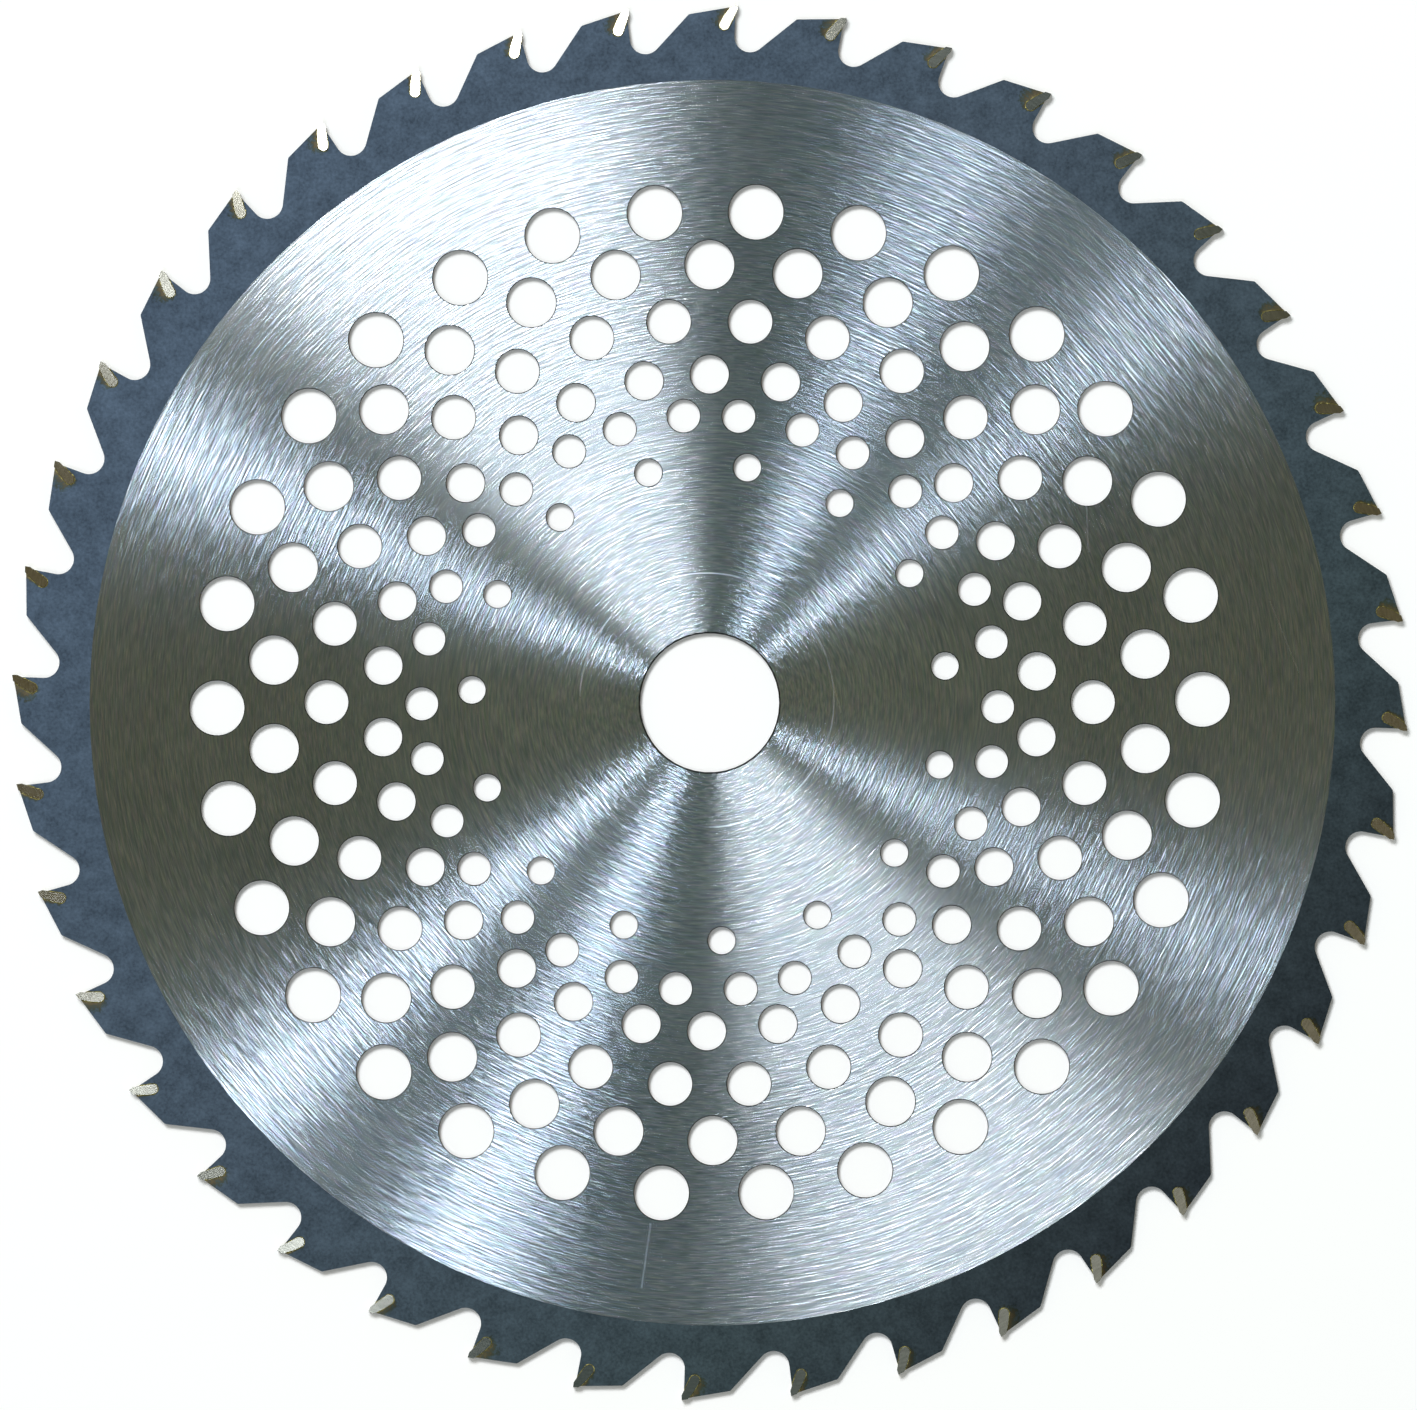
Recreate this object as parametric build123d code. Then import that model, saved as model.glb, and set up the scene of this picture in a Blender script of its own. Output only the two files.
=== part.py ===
from build123d import *
from math import cos, degrees, radians, sin, sqrt, tan
import os

# Brush cutter blade: a perforated steel disc with carbide tips brazed into its teeth.
# Millimetres. +Z runs along the bore, Z = 0 is the middle of the plate's thickness, and
# the teeth face clockwise when the blade is seen from +Z.

# Cutting circle
CUTTING_DIAMETER = 255.0
TOOTH_COUNT = 40
FIRST_TOOTH_DEG = 7.0

# Plate
RIM_THICKNESS = 1.4
GROUND_DIAMETER = 227.5
# The face grinding ran slightly off the bore, towards +X
GROUND_OFFSET = 0.5
GROUND_DEPTH = 0.05
BORE_DIAMETER = 25.4
BORE_CHAMFER = 0.3

# Steel of a tooth, in the frame of a tooth that points along +Y and cuts towards +X
GULLET_DEPTH = 8.5
GULLET_RADIUS = 2.85
BACK_SLOPE_DEG = 40.5
LAND_SLOPE_DEG = 11.5
LAND_DROP = 0.25
HEEL_RADIUS = 0.6
STEEL_SETBACK = 0.35

# Carbide tip: a round-ended pill that leans forward, ground on its face, top and flanks
TIP_REACH = 0.65
TIP_LEAN_DEG = 25.0
TIP_WIDTH = 1.8
TIP_LENGTH = 5.2
TIP_THICKNESS = 2.2
TIP_BACK_RADIUS = 14.0
FACE_GRIND = 0.42
FACE_RAKE_DEG = -3.0
TOP_CLEARANCE_DEG = 10.0
FLANK_RADIAL_DEG = 1.0
FLANK_TANGENTIAL_DEG = 2.0

# Braze film between tip and slot
BRAZE_GAP = 0.15
BRAZE_RISE = 0.1

# Lightening holes: the first ring's radius, each later ring's step outwards from the ring
# before it, each ring's hole size, and where its holes lie in a sector
SECTOR_COUNT = 15
RING_1_RADIUS = 43.5
RING_1_HOLE = 5.0
RING_1_DEG = (8.9,)
RING_2_STEP = 9.1
RING_2_HOLE = 6.0
RING_2_DEG = (-0.8, 12.2)
RING_3_STEP = 7.4
RING_3_HOLE = 7.0
RING_3_DEG = (5.5, 18.0)
RING_4_STEP = 10.0
RING_4_HOLE = 8.0
RING_4_DEG = (0.1, 11.9)
RING_5_STEP = 10.0
RING_5_HOLE = 9.0
RING_5_DEG = (6.4, 18.0)
RING_6_STEP = 10.0
RING_6_HOLE = 10.0
RING_6_DEG = (0.4, 12.6)
HOLE_EDGE_BREAK = 0.15

RINGS = (
    (RING_1_RADIUS, RING_1_HOLE, RING_1_DEG),
    (RING_2_STEP, RING_2_HOLE, RING_2_DEG),
    (RING_3_STEP, RING_3_HOLE, RING_3_DEG),
    (RING_4_STEP, RING_4_HOLE, RING_4_DEG),
    (RING_5_STEP, RING_5_HOLE, RING_5_DEG),
    (RING_6_STEP, RING_6_HOLE, RING_6_DEG),
)

# Worked out from the sizes above
PITCH_DEG = 360 / TOOTH_COUNT
SECTOR_DEG = 360 / SECTOR_COUNT
CUTTING_RADIUS = CUTTING_DIAMETER / 2
NOSE = Vector(TIP_REACH, sqrt(CUTTING_RADIUS**2 - TIP_REACH**2))
STEEL_FRONT = TIP_REACH - STEEL_SETBACK
LEAN_AXIS = Vector(sin(radians(TIP_LEAN_DEG)), cos(radians(TIP_LEAN_DEG)))
LEAN_SIDE = Vector(cos(radians(TIP_LEAN_DEG)), -sin(radians(TIP_LEAN_DEG)))
# Long enough to run past a tooth in any direction
PAST_TOOTH = TIP_LENGTH + GULLET_DEPTH


def slope(angle_deg):
    """Unit vector in the tooth frame, angle_deg up from the cutting direction."""
    return Vector(cos(radians(angle_deg)), sin(radians(angle_deg)))


def at_tooth(index, shape):
    """Turn a shape from the tooth frame to the place of one tooth."""
    return Rot(0, 0, FIRST_TOOTH_DEG + index * PITCH_DEG - 90) * shape


def at_every_tooth(shape):
    """The same shape at each tooth in turn."""
    return [at_tooth(index, shape) for index in range(TOOTH_COUNT)]


def next_tooth(point):
    """Where a point of the tooth frame lies on the next tooth, clockwise."""
    return point.rotate(Axis.Z, -PITCH_DEG)


def meet(start_a, along_a, start_b, along_b):
    """Point where two straight lines in the XY plane cross."""
    gap = start_b - start_a
    cross = along_a.X * along_b.Y - along_a.Y * along_b.X
    reach = (gap.X * along_b.Y - gap.Y * along_b.X) / cross
    return start_a + along_a * reach


def tooth_gap():
    """Outline from a tooth's front corner to the next: front, gullet, back, heel and land."""
    front_corner = Vector(STEEL_FRONT, NOSE.Y - LAND_DROP)
    centre_x = STEEL_FRONT + GULLET_RADIUS
    centre_reach = CUTTING_RADIUS - GULLET_DEPTH + GULLET_RADIUS
    gullet_centre = Vector(centre_x, sqrt(centre_reach**2 - centre_x**2))
    gullet_end = gullet_centre + slope(BACK_SLOPE_DEG - 90) * GULLET_RADIUS
    gullet_corner = meet(front_corner, slope(90), gullet_end, slope(BACK_SLOPE_DEG))
    next_corner = next_tooth(front_corner)
    next_land = next_tooth(slope(LAND_SLOPE_DEG))
    heel = meet(gullet_end, slope(BACK_SLOPE_DEG), next_corner, next_land)
    radii = [GULLET_RADIUS, HEEL_RADIUS]
    return FilletPolyline(front_corner, gullet_corner, heel, next_corner, radius=radii)


def steel_outline():
    """The toothed disc as one face, before bore, holes and slots."""
    edges = []
    for gap in at_every_tooth(tooth_gap()):
        edges += gap.edges()
    return make_face(edges)


def pill_outline():
    """A tip's round-ended outline in the tooth frame, still running out past the top."""
    half = TIP_WIDTH / 2
    foot = NOSE + LEAN_SIDE * (FACE_GRIND - half) - LEAN_AXIS * (TIP_LENGTH - half)
    front_low = foot + LEAN_SIDE * half
    front_high = front_low + LEAN_AXIS * PAST_TOOTH
    back_low = foot - LEAN_SIDE * half
    back_centre = back_low + LEAN_SIDE * TIP_BACK_RADIUS
    back_turn = degrees(TIP_LENGTH / TIP_BACK_RADIUS)
    back_high = back_centre + slope(180 - TIP_LEAN_DEG - back_turn) * TIP_BACK_RADIUS
    back_middle = back_centre + slope(180 - TIP_LEAN_DEG - back_turn / 2) * TIP_BACK_RADIUS
    return make_face(
        [
            Line(front_high, front_low),
            ThreePointArc(front_low, foot - LEAN_AXIS * half, back_low),
            ThreePointArc(back_low, back_middle, back_high),
            Line(back_high, front_high),
        ]
    )


def ground_corner():
    """What the grinding wheels leave: all that lies behind the face and under the top."""
    top_end = NOSE - slope(TOP_CLEARANCE_DEG) * PAST_TOOTH
    face_end = NOSE + slope(-90 - FACE_RAKE_DEG) * PAST_TOOTH
    return make_face(Polyline(NOSE, top_end, top_end + face_end - NOSE, face_end, close=True))


def slot_outline():
    """The slot in the steel: the pill with the braze gap all round."""
    return offset(pill_outline(), BRAZE_GAP)


def hole_places():
    """Centre and diameter of every lightening hole."""
    radius = 0
    for step, diameter, angles in RINGS:
        radius += step
        for sector in range(SECTOR_COUNT):
            for angle in angles:
                turn = angle + sector * SECTOR_DEG
                yield Vector(radius, 0).rotate(Axis.Z, turn), diameter


def broken_hole(diameter, thickness, edge_break):
    """Tool for a round hole through the plate with both edges broken at 45 degrees."""
    radius = diameter / 2
    half = thickness / 2
    profile = Polyline(
        (0, 0, 0),
        (radius, 0, 0),
        (radius, 0, half - edge_break),
        (radius + 2 * edge_break, 0, half + edge_break),
        (0, 0, half + edge_break),
        close=True,
    )
    upper = revolve(make_face(profile), Axis.Z)
    return upper + mirror(upper, Plane.XY)


def blade_plate():
    """The steel disc: toothed rim, ground faces, bore, lightening holes and tip slots."""
    face = steel_outline()
    plate = extrude(face - at_every_tooth(slot_outline()), RIM_THICKNESS / 2, both=True)
    ground_thickness = RIM_THICKNESS - 2 * GROUND_DEPTH
    ground_place = (RIM_THICKNESS - GROUND_DEPTH) / 2
    grinding = Pos(GROUND_OFFSET, 0, ground_place) * Cylinder(GROUND_DIAMETER / 2, GROUND_DEPTH)
    plate -= [grinding, mirror(grinding, Plane.XY)]
    cuts = [broken_hole(BORE_DIAMETER, ground_thickness, BORE_CHAMFER)]
    for place, diameter in hole_places():
        cuts.append(Pos(place) * broken_hole(diameter, ground_thickness, HOLE_EDGE_BREAK))
    return plate - cuts


def flank_limit():
    """Space between the two ground flanks, widest at the nose."""
    lean = Vector(-tan(radians(FLANK_TANGENTIAL_DEG)), -tan(radians(FLANK_RADIAL_DEG)), 1)
    nose_top = NOSE + Vector(0, 0, TIP_THICKNESS / 2)
    width = 4 * PAST_TOOTH
    block = Pos(0, 0, -TIP_THICKNESS / 2) * Box(width, width, TIP_THICKNESS)
    upper = Plane(nose_top, z_dir=lean) * block
    return upper & mirror(upper, Plane.XY)


def tip():
    """One carbide tip in the tooth frame."""
    outline = pill_outline() & ground_corner()
    return extrude(outline, TIP_THICKNESS / 2, both=True) & flank_limit()


def braze_film():
    """The braze between one tip and its slot, a little proud of both faces of the steel."""
    steel = Rot(0, 0, 90 - FIRST_TOOTH_DEG) * steel_outline()
    film = (slot_outline() - pill_outline()) & steel
    return extrude(film, RIM_THICKNESS / 2 + BRAZE_RISE, both=True)


os.makedirs("parts", exist_ok=True)
export_step(blade_plate(), "parts/blade_plate.step")
for number, carbide in enumerate(at_every_tooth(tip()), start=1):
    export_step(carbide, f"parts/tip_{number:02d}.step")
export_step(Compound(children=at_every_tooth(braze_film())), "parts/tip_braze.step")
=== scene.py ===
from math import cos, hypot, pi, radians, sin, sqrt

import bpy
from mathutils import Euler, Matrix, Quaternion, Vector


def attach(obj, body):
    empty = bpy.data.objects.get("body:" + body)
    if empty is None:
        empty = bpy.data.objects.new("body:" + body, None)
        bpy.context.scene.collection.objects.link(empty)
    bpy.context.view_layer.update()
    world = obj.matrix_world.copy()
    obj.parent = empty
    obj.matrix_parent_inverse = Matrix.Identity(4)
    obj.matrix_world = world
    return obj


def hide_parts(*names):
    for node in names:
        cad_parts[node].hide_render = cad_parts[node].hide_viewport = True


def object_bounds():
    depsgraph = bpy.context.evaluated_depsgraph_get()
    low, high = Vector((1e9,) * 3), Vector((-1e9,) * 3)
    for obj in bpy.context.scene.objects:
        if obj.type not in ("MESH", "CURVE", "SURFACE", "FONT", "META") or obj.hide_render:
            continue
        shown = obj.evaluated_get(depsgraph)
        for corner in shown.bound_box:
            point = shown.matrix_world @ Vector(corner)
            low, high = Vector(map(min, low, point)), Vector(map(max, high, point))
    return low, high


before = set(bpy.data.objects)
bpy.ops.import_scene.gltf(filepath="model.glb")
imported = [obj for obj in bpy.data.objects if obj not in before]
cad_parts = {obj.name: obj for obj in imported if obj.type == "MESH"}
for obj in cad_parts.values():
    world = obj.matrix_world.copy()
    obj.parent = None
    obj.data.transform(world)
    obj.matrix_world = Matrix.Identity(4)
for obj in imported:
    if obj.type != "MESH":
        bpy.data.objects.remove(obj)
cad_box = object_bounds()

# Blade plate
# One disc of spring steel, laser cut with its teeth, bore and 165 holes, then hardened and
# tempered, which left a blue-grey scale. Inside the teeth both faces were ground bright,
# round and round the bore, so that each lamp draws a pair of fans across the face.
# Sizes are in millimetres, and MM turns them to metres
MM = 0.001
CUTTING_RADIUS = 127.5
TOOTH_COUNT = 40
FIRST_TOOTH_DEG = 7.0
GROUND_RADIUS = 113.75 * MM
GROUND_CENTRE_X = 0.5 * MM

# The ring that a flange scribed round the bore
FLANGE_CENTRE = (-0.5, 0.5, 0)
FLANGE_RADIUS = 23.2
# Half the width of the ring and of a stray scratch, how much rougher than the ground face the
# ring is, and the share of that which a stray scratch has
SCUFF_HALF_WIDTH = 0.12
SCUFF_ROUGHNESS = 0.3
SCRATCH_DEPTH = 0.4
# Middle of each stray scratch, its length and the way it lies in degrees
SCRATCHES = (
    (-11.6, -101.0, 12.0, 82),
    (69.0, 32.0, 9.0, 92),
    (105.0, 12.0, 14.0, 112),
    (22.5, 4.0, 12.0, 105),
    (-86.0, 28.0, 6.0, 60),
    (38.0, 62.0, 5.0, 20),
)

# The tips' outline as it lies in a tooth that points along +Y, for the heat tint round them
TIP_REACH = 0.65
TIP_LEAN = radians(25)
TIP_WIDTH = 1.8
TIP_LENGTH = 5.2
FACE_GRIND = 0.42
LEAN_AXIS = Vector((sin(TIP_LEAN), cos(TIP_LEAN), 0))
LEAN_SIDE = Vector((cos(TIP_LEAN), -sin(TIP_LEAN), 0))
NOSE = Vector((TIP_REACH, sqrt(CUTTING_RADIUS**2 - TIP_REACH**2), 0))
TIP_FOOT = NOSE + LEAN_SIDE * (FACE_GRIND - TIP_WIDTH / 2) - LEAN_AXIS * (TIP_LENGTH - TIP_WIDTH / 2)
# The tint is a dye: its last colour times this gain leaves the scale as it is
TINT_GAIN = 2.2
# The way across the blade along which its scale is painted darker: painted shade, away from the lamps at
# the upper left
PAINTED_SHADE_BEARING = radians(-40)
PAINTED_SHADE_WAY = Vector((cos(PAINTED_SHADE_BEARING), sin(PAINTED_SHADE_BEARING), 0))

# The plate's finishes, in the order of its materials. A face whose normal's Z is above
# FACE_NORMAL is flat, and one below WALL_NORMAL is a cut wall.
GROUND, TEMPERED, CUT, EDGE = range(4)
FACE_NORMAL = 0.99
WALL_NORMAL = 0.3


def colour(code):
    """A colour from its sRGB hex code, as linear red, green, blue and alpha."""
    parts = [int(code[i : i + 2], 16) / 255 for i in (1, 3, 5)]
    return [p / 12.92 if p <= 0.04045 else ((p + 0.055) / 1.055) ** 2.4 for p in parts] + [1.0]


def add_node(tree, kind, inputs=None, stops=None, **settings):
    """Add a node with its settings, its inputs as values or as links, and its colour stops."""
    node = tree.nodes.new(kind)
    for name, value in settings.items():
        setattr(node, name, value)
    for socket, source in (inputs or {}).items():
        if isinstance(source, bpy.types.NodeSocket):
            tree.links.new(source, node.inputs[socket])
        else:
            node.inputs[socket].default_value = source
    if stops:
        ramp = node.color_ramp.elements
        while len(ramp) < len(stops):
            ramp.new(1.0)
        for element, (position, code) in zip(ramp, stops):
            element.position = position
            element.color = colour(code)
    return node


def new_material(name):
    """An empty material and its node tree."""
    material = bpy.data.materials.new(name)
    material.use_nodes = True
    material.node_tree.nodes.clear()
    return material, material.node_tree


def place_in_mm(tree):
    """A point's place on the object in millimetres, its distance from the bore's axis and its bearing."""
    place = add_node(tree, "ShaderNodeTexCoord").outputs["Object"]
    place = {0: place, "Scale": 1 / MM}
    place = add_node(tree, "ShaderNodeVectorMath", place, operation="SCALE").outputs[0]
    flat = {0: place, 1: (1, 1, 0)}
    flat = add_node(tree, "ShaderNodeVectorMath", flat, operation="MULTIPLY").outputs[0]
    radius = add_node(tree, "ShaderNodeVectorMath", {0: flat}, operation="LENGTH").outputs["Value"]
    bearing = add_node(tree, "ShaderNodeVectorMath", {0: flat}, operation="NORMALIZE").outputs[0]
    return place, radius, bearing


def round_noise(tree, radius, bearing, across_mm, turns, detail=2.0, roughness=0.6):
    """Noise drawn out round the bore: across_mm wide, and turns of it to one radian."""
    around = {0: bearing, "Scale": turns}
    around = add_node(tree, "ShaderNodeVectorMath", around, operation="SCALE").outputs[0]
    out = {0: radius, 1: across_mm}
    out = add_node(tree, "ShaderNodeMath", out, operation="DIVIDE").outputs[0]
    lift = add_node(tree, "ShaderNodeCombineXYZ", {"Z": out}).outputs[0]
    spot = {0: around, 1: lift}
    spot = add_node(tree, "ShaderNodeVectorMath", spot, operation="ADD").outputs[0]
    shape = {"Vector": spot, "Scale": 1.0, "Detail": detail, "Roughness": roughness}
    return add_node(tree, "ShaderNodeTexNoise", shape).outputs


def ground_steel():
    """Spring steel ground bright: fine round scratches that spread each lamp into a fan."""
    material, tree = new_material("ground_spring_steel")
    place, radius, bearing = place_in_mm(tree)
    # Grit marks are about 0.1 mm wide and 2 to 4 mm long, too fine to show, and are drawn 0.25
    # to 0.35 mm wide. Those near the bore fade into those further out.
    near = round_noise(tree, radius, bearing, across_mm=0.35, turns=10.0)
    far = round_noise(tree, radius, bearing, across_mm=0.25, turns=28.0)
    outer = {"Value": radius, "From Min": 45.0, "From Max": 70.0}
    outer = add_node(tree, "ShaderNodeMapRange", outer).outputs[0]
    marks = add_node(tree, "ShaderNodeMix", {"Factor": outer, 2: near[0], 3: far[0]}).outputs[0]
    patches = round_noise(tree, radius, bearing, across_mm=9.0, turns=4.0)[0]
    tone = {0: patches, 1: 0.3, 2: -0.15}
    tone = add_node(tree, "ShaderNodeMath", tone, operation="MULTIPLY_ADD").outputs[0]
    tone = add_node(tree, "ShaderNodeMath", {0: marks, 1: tone}, operation="ADD").outputs[0]
    # The face is painted brightest round the bore, a painted highlight for the brighter fans of lamplight
    # there
    bore_painted_highlight = {"Value": radius, "From Min": 25.0, "From Max": 75.0, "To Min": 1.4, "To Max": 1.1}
    bore_painted_highlight = add_node(tree, "ShaderNodeMapRange", bore_painted_highlight).outputs[0]
    # Darker and lighter scratches, with a faint painted rainbow sheen for the colours that fine scratches
    # throw in light
    greys = [(0.3, "#9AA3AC"), (0.5, "#ADB6BE"), (0.7, "#C0C9D0")]
    base = add_node(tree, "ShaderNodeValToRGB", {"Fac": tone}, stops=greys).outputs[0]
    base = {0: base, "Scale": bore_painted_highlight}
    base = add_node(tree, "ShaderNodeVectorMath", base, operation="SCALE").outputs[0]
    painted_rainbow_sheen = {"Factor": outer, 6: near[1], 7: far[1]}
    painted_rainbow_sheen = add_node(tree, "ShaderNodeMix", painted_rainbow_sheen, data_type="RGBA").outputs[2]
    painted_rainbow_sheen = {0: painted_rainbow_sheen, "Scale": 2.0}
    painted_rainbow_sheen = add_node(tree, "ShaderNodeVectorMath", painted_rainbow_sheen, operation="SCALE").outputs[0]
    hue = {"Factor": 0.22, 6: base, 7: painted_rainbow_sheen}
    hue = add_node(tree, "ShaderNodeMix", hue, data_type="RGBA", blend_type="MULTIPLY").outputs[2]
    rough = {"Value": radius, "From Min": 25.0, "From Max": 100.0, "To Min": 0.165, "To Max": 0.19}
    rough = add_node(tree, "ShaderNodeMapRange", rough).outputs[0]
    # The flange's ring is worn away in places. It and the stray scratches are rough, so they
    # look pale where the face is dark and dark where it is bright.
    worn = {"Vector": bearing, "Scale": 1.6, "Detail": 0.0}
    worn = add_node(tree, "ShaderNodeTexNoise", worn).outputs[0]
    worn = {"Value": worn, "From Min": 0.35, "From Max": 0.5}
    worn = add_node(tree, "ShaderNodeMapRange", worn).outputs[0]
    ring = {0: place, 1: FLANGE_CENTRE}
    ring = add_node(tree, "ShaderNodeVectorMath", ring, operation="SUBTRACT").outputs[0]
    ring = {0: ring, 1: (1, 1, 0)}
    ring = add_node(tree, "ShaderNodeVectorMath", ring, operation="MULTIPLY").outputs[0]
    ring = add_node(tree, "ShaderNodeVectorMath", {0: ring}, operation="LENGTH").outputs["Value"]
    ring = {0: ring, 1: FLANGE_RADIUS, 2: SCUFF_HALF_WIDTH}
    ring = add_node(tree, "ShaderNodeMath", ring, operation="COMPARE").outputs[0]
    scuff = add_node(tree, "ShaderNodeMath", {0: ring, 1: worn}, operation="MULTIPLY").outputs[0]
    for x, y, length, lie in SCRATCHES:
        spot = {"Vector": place, "Location": (x, y, 0), "Rotation": (0, 0, radians(lie))}
        spot = add_node(tree, "ShaderNodeMapping", spot, vector_type="TEXTURE").outputs[0]
        spot = add_node(tree, "ShaderNodeSeparateXYZ", {0: spot}).outputs
        line = {0: spot["X"], 1: 0.0, 2: length / 2}
        line = add_node(tree, "ShaderNodeMath", line, operation="COMPARE").outputs[0]
        thin = {0: spot["Y"], 1: 0.0, 2: SCUFF_HALF_WIDTH}
        thin = add_node(tree, "ShaderNodeMath", thin, operation="COMPARE").outputs[0]
        line = add_node(tree, "ShaderNodeMath", {0: line, 1: thin}, operation="MULTIPLY").outputs[0]
        line = {0: line, 1: SCRATCH_DEPTH}
        line = add_node(tree, "ShaderNodeMath", line, operation="MULTIPLY").outputs[0]
        scuff = {0: scuff, 1: line}
        scuff = add_node(tree, "ShaderNodeMath", scuff, operation="MAXIMUM").outputs[0]
    rough = {0: scuff, 1: SCUFF_ROUGHNESS, 2: rough}
    rough = add_node(tree, "ShaderNodeMath", rough, operation="MULTIPLY_ADD").outputs[0]
    # Each scratch has its own slope across the round, which makes streaks of light and dark
    near = round_noise(tree, radius, bearing, across_mm=0.3, turns=8.0, detail=1.0, roughness=0.5)[0]
    near = add_node(tree, "ShaderNodeMath", {0: near, 1: 0.7}, operation="MULTIPLY").outputs[0]
    far = round_noise(tree, radius, bearing, across_mm=0.35, turns=16.0, detail=1.0, roughness=0.5)[0]
    furrows = add_node(tree, "ShaderNodeMix", {"Factor": outer, 2: near, 3: far}).outputs[0]
    height = {"Height": furrows, "Strength": 1.0, "Distance": 0.05 * MM}
    height = add_node(tree, "ShaderNodeBump", height).outputs[0]
    # Each scratch runs a few degrees off the round, which frays the edges of the fans
    stray = add_node(tree, "ShaderNodeMath", {0: marks, 1: 0.5}, operation="SUBTRACT").outputs[0]
    stray = add_node(tree, "ShaderNodeMath", {0: stray, 1: 0.08}, operation="MULTIPLY").outputs[0]
    round_way = {0: bearing, 1: (0, 0, 1)}
    round_way = add_node(tree, "ShaderNodeVectorMath", round_way, operation="CROSS_PRODUCT").outputs[0]
    aside = {0: bearing, "Scale": stray}
    aside = add_node(tree, "ShaderNodeVectorMath", aside, operation="SCALE").outputs[0]
    along = {0: round_way, 1: aside}
    along = add_node(tree, "ShaderNodeVectorMath", along, operation="ADD").outputs[0]
    shader = {
        "Base Color": hue,
        "Metallic": 1.0,
        "Roughness": rough,
        "Anisotropic": 1.0,
        "Anisotropic Rotation": 0.25,
        "Tangent": along,
        "Normal": height,
    }
    shader = add_node(tree, "ShaderNodeBsdfPrincipled", shader).outputs[0]
    add_node(tree, "ShaderNodeOutputMaterial", {"Surface": shader})
    return material


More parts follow.
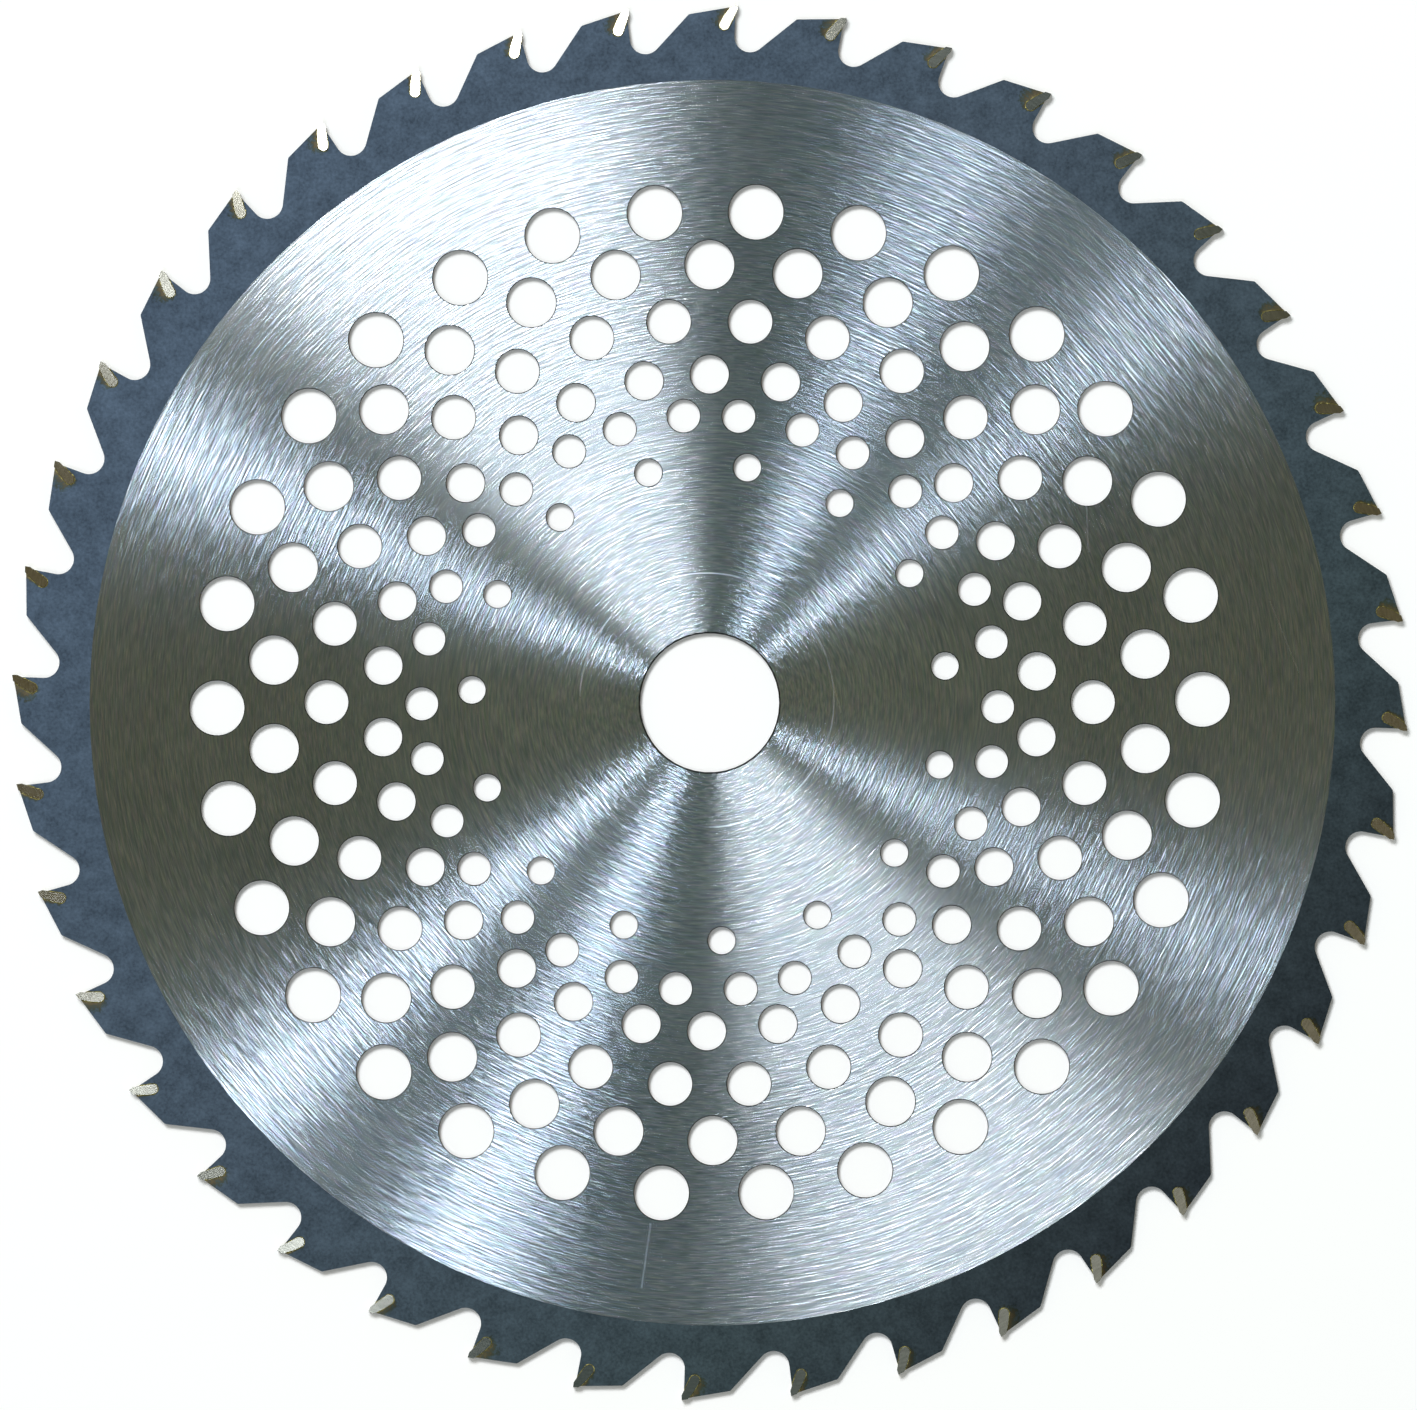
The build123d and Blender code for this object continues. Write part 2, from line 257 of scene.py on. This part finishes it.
def tempered_steel():
    """Spring steel in its tempering scale: blue-grey and matt, straw to brown round the brazed tips, with
    painted shade towards the lower right.
    """
    material, tree = new_material("tempered_spring_steel")
    place, radius = place_in_mm(tree)[:2]
    # The scale's own grain is about 0.05 mm, too fine to show, and is drawn 0.5 mm coarse
    grain = {"Vector": place, "Scale": 2.0, "Detail": 2.0, "Roughness": 0.6}
    grain = add_node(tree, "ShaderNodeTexNoise", grain).outputs[0]
    cloud = {"Vector": place, "Scale": 0.25, "Detail": 3.0}
    cloud = add_node(tree, "ShaderNodeTexNoise", cloud).outputs[0]
    # The scale is blue-grey towards the upper left, and painted nearly black towards the lower right as
    # painted shade away from the lamps
    lie = {0: place, 1: PAINTED_SHADE_WAY}
    lie = add_node(tree, "ShaderNodeVectorMath", lie, operation="DOT_PRODUCT").outputs["Value"]
    lie = {"Value": lie, "From Min": -CUTTING_RADIUS, "From Max": CUTTING_RADIUS}
    lie = add_node(tree, "ShaderNodeMapRange", lie).outputs[0]
    scale_blues_and_painted_shade = [(0.0, "#3E4A57"), (0.45, "#3D4852"), (0.8, "#364144"), (1.0, "#262C30")]
    base = add_node(tree, "ShaderNodeValToRGB", {"Fac": lie}, stops=scale_blues_and_painted_shade).outputs[0]
    # Its grain and its broad clouds are each a few per cent darker and lighter
    shade = add_node(tree, "ShaderNodeMath", {0: grain, 1: cloud}, operation="ADD").outputs[0]
    shade = {0: shade, 1: 0.9, 2: 0.1}
    shade = add_node(tree, "ShaderNodeMath", shade, operation="MULTIPLY_ADD").outputs[0]
    base = {0: base, "Scale": shade}
    base = add_node(tree, "ShaderNodeVectorMath", base, operation="SCALE").outputs[0]
    # Where a point lies in its own tooth: the nearest tooth's direction is turned to +Y
    parts = add_node(tree, "ShaderNodeSeparateXYZ", {0: place}).outputs
    turn = {0: parts["Y"], 1: parts["X"]}
    turn = add_node(tree, "ShaderNodeMath", turn, operation="ARCTAN2").outputs[0]
    turn = {0: turn, 1: radians(FIRST_TOOTH_DEG)}
    turn = add_node(tree, "ShaderNodeMath", turn, operation="SUBTRACT").outputs[0]
    turn = {0: turn, 1: TOOTH_COUNT / (2 * pi)}
    turn = add_node(tree, "ShaderNodeMath", turn, operation="MULTIPLY").outputs[0]
    tooth = add_node(tree, "ShaderNodeMath", {0: turn}, operation="ROUND").outputs[0]
    off = add_node(tree, "ShaderNodeMath", {0: turn, 1: tooth}, operation="SUBTRACT").outputs[0]
    off = {0: off, 1: 2 * pi / TOOTH_COUNT}
    off = add_node(tree, "ShaderNodeMath", off, operation="MULTIPLY").outputs[0]
    back = add_node(tree, "ShaderNodeMath", {0: off}, operation="SINE").outputs[0]
    forward = add_node(tree, "ShaderNodeMath", {0: back, 1: -1.0}, operation="MULTIPLY").outputs[0]
    outward = add_node(tree, "ShaderNodeMath", {0: off}, operation="COSINE").outputs[0]
    spot = add_node(tree, "ShaderNodeCombineXYZ", {"X": forward, "Y": outward}).outputs[0]
    spot = {0: spot, "Scale": radius}
    spot = add_node(tree, "ShaderNodeVectorMath", spot, operation="SCALE").outputs[0]
    spot = {0: spot, 1: TIP_FOOT}
    spot = add_node(tree, "ShaderNodeVectorMath", spot, operation="SUBTRACT").outputs[0]
    # How far it lies from the tip. Ahead of the tip and below it a distance counts for more,
    # so that the tint spreads mostly behind.
    up_tip = {0: spot, 1: LEAN_AXIS}
    up_tip = add_node(tree, "ShaderNodeVectorMath", up_tip, operation="DOT_PRODUCT").outputs["Value"]
    below = add_node(tree, "ShaderNodeMath", {0: up_tip, 1: 0.0}, operation="MINIMUM").outputs[0]
    below = add_node(tree, "ShaderNodeMath", {0: below, 1: 2.0}, operation="MULTIPLY").outputs[0]
    beside = {0: spot, 1: LEAN_SIDE}
    beside = add_node(tree, "ShaderNodeVectorMath", beside, operation="DOT_PRODUCT").outputs["Value"]
    ahead = add_node(tree, "ShaderNodeMath", {0: beside, 1: 0.0}, operation="MAXIMUM").outputs[0]
    beside = {0: ahead, 1: 2.0, 2: beside}
    beside = add_node(tree, "ShaderNodeMath", beside, operation="MULTIPLY_ADD").outputs[0]
    away = add_node(tree, "ShaderNodeCombineXYZ", {"X": beside, "Y": below}).outputs[0]
    away = add_node(tree, "ShaderNodeVectorMath", {0: away}, operation="LENGTH").outputs["Value"]
    away = {0: away, 1: TIP_WIDTH / 2}
    away = add_node(tree, "ShaderNodeMath", away, operation="SUBTRACT").outputs[0]
    # Brazing heat: gold and brown flecks behind the tip, which reach 0.3 to 2.5 mm by the tooth
    luck = {"W": tooth}
    luck = add_node(tree, "ShaderNodeTexWhiteNoise", luck, noise_dimensions="1D").outputs["Value"]
    reach = {"Value": luck, "To Min": 0.3, "To Max": 2.5}
    reach = add_node(tree, "ShaderNodeMapRange", reach).outputs[0]
    heat = add_node(tree, "ShaderNodeMath", {0: away, 1: reach}, operation="DIVIDE").outputs[0]
    wander = {0: grain, 1: 2.0, 2: -1.0}
    wander = add_node(tree, "ShaderNodeMath", wander, operation="MULTIPLY_ADD").outputs[0]
    heat = add_node(tree, "ShaderNodeMath", {0: heat, 1: wander}, operation="ADD").outputs[0]
    straws = [(0.0, "#FFC98A"), (0.25, "#CBA97C"), (0.6, "#AAA68C"), (1.0, "#B4B4B4")]
    tint = add_node(tree, "ShaderNodeValToRGB", {"Fac": heat}, stops=straws).outputs[0]
    skin = {0: tint, 1: base}
    skin = add_node(tree, "ShaderNodeVectorMath", skin, operation="MULTIPLY").outputs[0]
    skin = {0: skin, "Scale": TINT_GAIN}
    skin = add_node(tree, "ShaderNodeVectorMath", skin, operation="SCALE").outputs[0]
    rough = {"Value": grain, "To Min": 0.36, "To Max": 0.42}
    rough = add_node(tree, "ShaderNodeMapRange", rough).outputs[0]
    height = {"Height": grain, "Strength": 1.0, "Distance": 0.008 * MM}
    height = add_node(tree, "ShaderNodeBump", height).outputs[0]
    shader = {"Base Color": skin, "Metallic": 1.0, "Roughness": rough, "Normal": height}
    shader = add_node(tree, "ShaderNodeBsdfPrincipled", shader).outputs[0]
    add_node(tree, "ShaderNodeOutputMaterial", {"Surface": shader})
    return material


def cut_steel():
    """Laser-cut edge of the plate: upright drag lines in a darker, browner skin."""
    material, tree = new_material("laser_cut_spring_steel")
    place = place_in_mm(tree)[0]
    # Drag lines stand about 0.2 mm apart and run down the wall
    flat = {0: place, 1: (1, 1, 0.1)}
    flat = add_node(tree, "ShaderNodeVectorMath", flat, operation="MULTIPLY").outputs[0]
    lines = {"Vector": flat, "Scale": 5.0, "Detail": 3.0}
    lines = add_node(tree, "ShaderNodeTexNoise", lines).outputs[0]
    browns = [(0.35, "#3E3931"), (0.65, "#7D7564")]
    base = add_node(tree, "ShaderNodeValToRGB", {"Fac": lines}, stops=browns).outputs[0]
    height = {"Height": lines, "Strength": 1.0, "Distance": 0.02 * MM}
    height = add_node(tree, "ShaderNodeBump", height).outputs[0]
    shader = {"Base Color": base, "Metallic": 1.0, "Roughness": 0.42, "Normal": height}
    shader = add_node(tree, "ShaderNodeBsdfPrincipled", shader).outputs[0]
    add_node(tree, "ShaderNodeOutputMaterial", {"Surface": shader})
    return material


def edge_steel():
    """The broken edges of the bore and holes: rough deburred steel, painted near black as a painted shade
    line round each.
    """
    material, tree = new_material("broken_edge_painted_shade")
    place = place_in_mm(tree)[0]
    # Nicks about 0.5 mm long
    nicks = {"Vector": place, "Scale": 2.0, "Detail": 2.0}
    nicks = add_node(tree, "ShaderNodeTexNoise", nicks).outputs[0]
    # Near-black colours: painted shade for the shaded walls and edges round each hole
    painted_shade_darks = [(0.35, "#1C1F1E"), (0.65, "#444847")]
    base = add_node(tree, "ShaderNodeValToRGB", {"Fac": nicks}, stops=painted_shade_darks).outputs[0]
    shader = {"Base Color": base, "Metallic": 1.0, "Roughness": 0.35}
    shader = add_node(tree, "ShaderNodeBsdfPrincipled", shader).outputs[0]
    add_node(tree, "ShaderNodeOutputMaterial", {"Surface": shader})
    return material


def face_finish(face):
    """Which of the plate's finishes a face has."""
    lift = abs(face.normal.z)
    if lift < WALL_NORMAL:
        return CUT
    if lift < FACE_NORMAL:
        return EDGE
    off_centre = hypot(face.center.x - GROUND_CENTRE_X, face.center.y)
    return GROUND if off_centre < GROUND_RADIUS else TEMPERED


plate = bpy.data.objects.new("plate_ground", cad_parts["blade_plate"].data.copy())
bpy.context.scene.collection.objects.link(plate)
plate.data.materials.clear()
for finish in (ground_steel(), tempered_steel(), cut_steel(), edge_steel()):
    plate.data.materials.append(finish)
for face in plate.data.polygons:
    face.material_index = face_finish(face)
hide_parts("blade_plate")
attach(plate, "root")


# Cutting tips
# Forty slips of sintered tungsten carbide, each brazed into the slot at the nose of a tooth,
# and ground on face, top and both flanks after that.
# How far the wheel's hollow turns a flank's normal outwards, as a share of that normal
FLANK_HOLLOW = 0.24


def ground_carbide():
    """Tungsten carbide off a diamond wheel: beige-grey satin, brightest towards the lamp."""
    material, tree = new_material("ground_tungsten_carbide")
    radius, bearing = place_in_mm(tree)[1:]
    # Wheel marks are about 0.02 mm wide, too fine to show, and are drawn 0.3 mm wide
    lines = round_noise(tree, radius, bearing, across_mm=0.3, turns=60.0)[0]
    beiges = [(0.3, "#9A978A"), (0.7, "#B4B1A3")]
    base = add_node(tree, "ShaderNodeValToRGB", {"Fac": lines}, stops=beiges).outputs[0]
    round_way = {0: bearing, 1: (0, 0, 1)}
    round_way = add_node(tree, "ShaderNodeVectorMath", round_way, operation="CROSS_PRODUCT").outputs[0]
    # The wheel leaves the flank a little hollow, so that most of it faces outwards
    hollow = {0: bearing, "Scale": FLANK_HOLLOW}
    hollow = add_node(tree, "ShaderNodeVectorMath", hollow, operation="SCALE").outputs[0]
    facing = add_node(tree, "ShaderNodeNewGeometry").outputs["Normal"]
    facing = {0: facing, 1: hollow}
    facing = add_node(tree, "ShaderNodeVectorMath", facing, operation="ADD").outputs[0]
    facing = add_node(tree, "ShaderNodeVectorMath", {0: facing}, operation="NORMALIZE").outputs[0]
    shader = {
        "Base Color": base,
        "Metallic": 1.0,
        "Roughness": 0.25,
        "Anisotropic": 0.95,
        "Anisotropic Rotation": 0.25,
        "Tangent": round_way,
        "Normal": facing,
    }
    shader = add_node(tree, "ShaderNodeBsdfPrincipled", shader).outputs[0]
    add_node(tree, "ShaderNodeOutputMaterial", {"Surface": shader})
    return material


carbide = ground_carbide()
for name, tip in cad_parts.items():
    if name.startswith("tip_") and name != "tip_braze":
        tip.material_slots[0].link = "OBJECT"
        tip.material_slots[0].material = carbide


# Braze
# Forty films of silver braze, melted and drawn round each tip by capillary, and left a little
# proud of the steel.


def silver_braze():
    """Silver braze: pale yellow, with a wet gloss where it froze."""
    material, tree = new_material("silver_braze")
    place = place_in_mm(tree)[0]
    # Ripples about 0.7 mm long
    ripple = {"Vector": place, "Scale": 1.5, "Detail": 2.0}
    ripple = add_node(tree, "ShaderNodeTexNoise", ripple).outputs[0]
    yellows = [(0.3, "#3A3820"), (0.7, "#8A8148")]
    base = add_node(tree, "ShaderNodeValToRGB", {"Fac": ripple}, stops=yellows).outputs[0]
    height = {"Height": ripple, "Strength": 1.0, "Distance": 0.1 * MM}
    height = add_node(tree, "ShaderNodeBump", height).outputs[0]
    shader = {"Base Color": base, "Metallic": 1.0, "Roughness": 0.3, "Normal": height}
    shader = add_node(tree, "ShaderNodeBsdfPrincipled", shader).outputs[0]
    add_node(tree, "ShaderNodeOutputMaterial", {"Surface": shader})
    return material


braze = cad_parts["tip_braze"]
braze.material_slots[0].link = "OBJECT"
braze.material_slots[0].material = silver_braze()


# Floor
# A plain pale table top that the blade lies flat on.
FLOOR_SIZE = 6.0
FLOOR_LIFT = 0.12


def pale_floor():
    """White painted board, a little lifted for the camera so that it reads as white."""
    material, tree = new_material("pale_painted_board")
    shade = add_node(tree, "ShaderNodeBsdfDiffuse", {"Color": colour("#F8F8F6")}).outputs[0]
    path = add_node(tree, "ShaderNodeLightPath").outputs
    seen = {0: path["Is Camera Ray"], 1: path["Is Glossy Ray"]}
    seen = add_node(tree, "ShaderNodeMath", seen, operation="MAXIMUM").outputs[0]
    seen = {0: seen, 1: path["Is Transmission Ray"]}
    seen = add_node(tree, "ShaderNodeMath", seen, operation="MAXIMUM").outputs[0]
    lift = add_node(tree, "ShaderNodeMath", {0: seen, 1: FLOOR_LIFT}, operation="MULTIPLY").outputs[0]
    glow = {"Color": colour("#FFFFFF"), "Strength": lift}
    glow = add_node(tree, "ShaderNodeEmission", glow).outputs[0]
    both = add_node(tree, "ShaderNodeAddShader", {0: shade, 1: glow}).outputs[0]
    add_node(tree, "ShaderNodeOutputMaterial", {"Surface": both})
    return material


half = FLOOR_SIZE / 2
level = cad_box[0].z
corners = [(-half, -half, level), (half, -half, level), (half, half, level), (-half, half, level)]
floor_mesh = bpy.data.meshes.new("floor")
floor_mesh.from_pydata(corners, [], [(0, 1, 2, 3)])
floor_mesh.materials.append(pale_floor())
floor = bpy.data.objects.new("floor", floor_mesh)
bpy.context.scene.collection.objects.link(floor)


# Lamps
# A wide soft box above the upper left of the blade, which throws its shadow to the lower
# right, and three narrow strips, each good for one narrow pair of fans.
BOX_COLOUR = "#FAFCFF"
STRIP_COLOUR = "#E9F2FF"
# Name, colour, bearing and tilt from upright in degrees, distance, width and height in
# metres, and watts
LAMPS = (
    ("top_left_box", BOX_COLOUR, 118.2, 27, 6.0, 1.84, 1.5, 285.0),
    ("left_strip", STRIP_COLOUR, 157.0, 20, 6.0, 0.24, 1.5, 19.0),
    ("low_left_strip", STRIP_COLOUR, 221.8, 20, 6.0, 0.21, 1.5, 19.0),
    ("bottom_left_strip", STRIP_COLOUR, 245.5, 20, 6.0, 0.3, 1.5, 23.0),
)
for name, code, bearing_deg, tilt_deg, distance, width, height, watts in LAMPS:
    data = bpy.data.lights.new(name, "AREA")
    data.shape = "RECTANGLE"
    data.size = height
    data.size_y = width
    data.energy = watts
    data.color = colour(code)[:3]
    lamp = bpy.data.objects.new(name, data)
    lamp.rotation_euler = Euler((0, radians(tilt_deg), radians(bearing_deg)), "XYZ")
    lamp.location = lamp.rotation_euler.to_matrix() @ Vector((0, 0, distance))
    bpy.context.scene.collection.objects.link(lamp)

# The room is dim and a little tinted: olive walls at the sides, teal and blue ones at the ends
ROOM_STRENGTH = 0.8
ROOM_COLOURS = [(0.0, "#59707A"), (0.5, "#6B7164"), (1.0, "#8A794A")]
world = bpy.data.worlds.new("room")
world.use_nodes = True
tree = world.node_tree
way = add_node(tree, "ShaderNodeTexCoord").outputs["Generated"]
way = add_node(tree, "ShaderNodeSeparateXYZ", {0: way}).outputs
side = add_node(tree, "ShaderNodeMath", {0: way["X"], 1: way["X"]}, operation="MULTIPLY").outputs[0]
end = add_node(tree, "ShaderNodeMath", {0: way["Y"], 1: way["Y"]}, operation="MULTIPLY").outputs[0]
blend = add_node(tree, "ShaderNodeMath", {0: side, 1: end}, operation="SUBTRACT").outputs[0]
blend = {0: blend, 1: 2.5, 2: 0.5}
blend = add_node(tree, "ShaderNodeMath", blend, operation="MULTIPLY_ADD").outputs[0]
walls = add_node(tree, "ShaderNodeValToRGB", {"Fac": blend}, stops=ROOM_COLOURS).outputs[0]
background = tree.nodes["Background"]
tree.links.new(walls, background.inputs["Color"])
background.inputs["Strength"].default_value = ROOM_STRENGTH
bpy.context.scene.world = world


# Camera
# Square above the blade but for a slight lean to the upper right.
CAMERA_DISTANCE = 3.5
CAMERA_TILT = radians(0.7)
CAMERA_BEARING = radians(65)
FRAME_WIDTH = 0.2588
SENSOR_WIDTH_MM = 36
AIM = Vector((-0.2 * MM, -0.4 * MM, 0.7 * MM))
camera_data = bpy.data.cameras.new("camera")
camera_data.sensor_width = SENSOR_WIDTH_MM
camera_data.lens = SENSOR_WIDTH_MM * CAMERA_DISTANCE / FRAME_WIDTH
camera_data.clip_start = 0.05
camera = bpy.data.objects.new("camera", camera_data)
lean = Quaternion((-sin(CAMERA_BEARING), cos(CAMERA_BEARING), 0), CAMERA_TILT)
camera.rotation_euler = lean.to_euler()
camera.location = AIM + lean @ Vector((0, 0, CAMERA_DISTANCE))
bpy.context.scene.collection.objects.link(camera)
bpy.context.scene.camera = camera
bpy.context.scene.view_settings.view_transform = "Standard"
